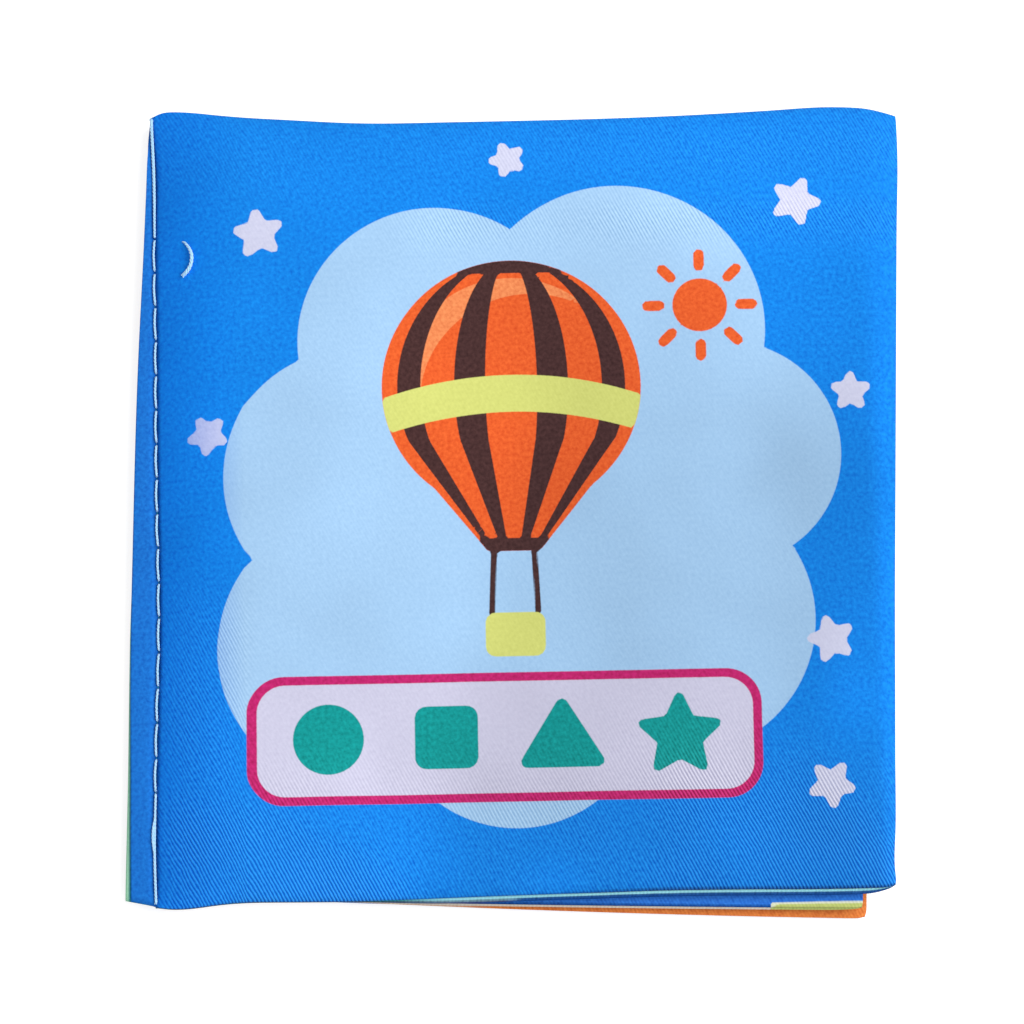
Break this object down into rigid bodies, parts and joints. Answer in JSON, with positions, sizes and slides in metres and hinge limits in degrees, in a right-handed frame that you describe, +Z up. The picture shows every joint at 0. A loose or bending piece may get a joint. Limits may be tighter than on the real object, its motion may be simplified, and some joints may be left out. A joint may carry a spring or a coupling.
{
  "type": "crinkle cloth book",
  "caption": "Small soft book of padded cloth leaves sewn along one edge, with crinkle film inside, for a baby to hold and leaf through.",
  "frame": {"origin": "middle of the closed book's footprint, on the surface that it lies on", "axes": "+X from the spine to the fore edge, +Y from the foot to the head of the pages, +Z up out of the front cover"},
  "size_m": [0.1032, 0.109, 0.0094],
  "materials": {
    "blue_cloth": "printed twill, royal blue",
    "green_blue_cloth": "printed twill, green blue",
    "indigo_cloth": "printed twill, indigo",
    "pale_cloth": "printed twill, pale lime",
    "orange_cloth": "printed twill, orange",
    "white_thread": "white sewing thread",
    "crinkle_film": "thin clear film",
    "sponge": "thin white sponge sheet"
  },
  "bodies": {
    "book_base": {"back_cover_outer_panel": "blue_cloth", "back_cover_outer_panel_spine_edge": "blue_cloth", "back_cover_inner_panel": "orange_cloth", "back_cover_inner_panel_spine_edge": "orange_cloth", "back_cover_wadding": "sponge", "back_cover_crinkle_film": "crinkle_film", "back_cover_edge_thread": "white_thread", "middle_leaf_back_panel_spine_edge": "pale_cloth", "middle_leaf_front_panel_spine_edge": "indigo_cloth", "front_cover_inner_panel_spine_edge": "green_blue_cloth", "front_cover_outer_panel_spine_edge": "blue_cloth", "needle_thread": "white_thread", "bobbin_thread": "white_thread"},
    "middle_leaf": {"middle_leaf_back_panel": "pale_cloth", "middle_leaf_front_panel": "indigo_cloth", "middle_leaf_wadding": "sponge", "middle_leaf_crinkle_film": "crinkle_film", "middle_leaf_edge_thread": "white_thread"},
    "front_cover": {"front_cover_inner_panel": "green_blue_cloth", "front_cover_outer_panel": "blue_cloth", "front_cover_wadding": "sponge", "front_cover_crinkle_film": "crinkle_film", "front_cover_edge_thread": "white_thread", "front_cover_tack_thread": "white_thread"}
  },
  "joints": [
    {"name": "middle_leaf_turn", "type": "hinge", "parent": "book_base", "child": "middle_leaf", "pos_m": [-0.0471, 0, 0.0043], "axis": [0, -1, 0], "range_deg": [0, 87]},
    {"name": "front_cover_turn", "type": "hinge", "parent": "middle_leaf", "child": "front_cover", "pos_m": [-0.0471, 0, 0.0043], "axis": [0, -1, 0], "range_deg": [0, 87]}
  ]
}
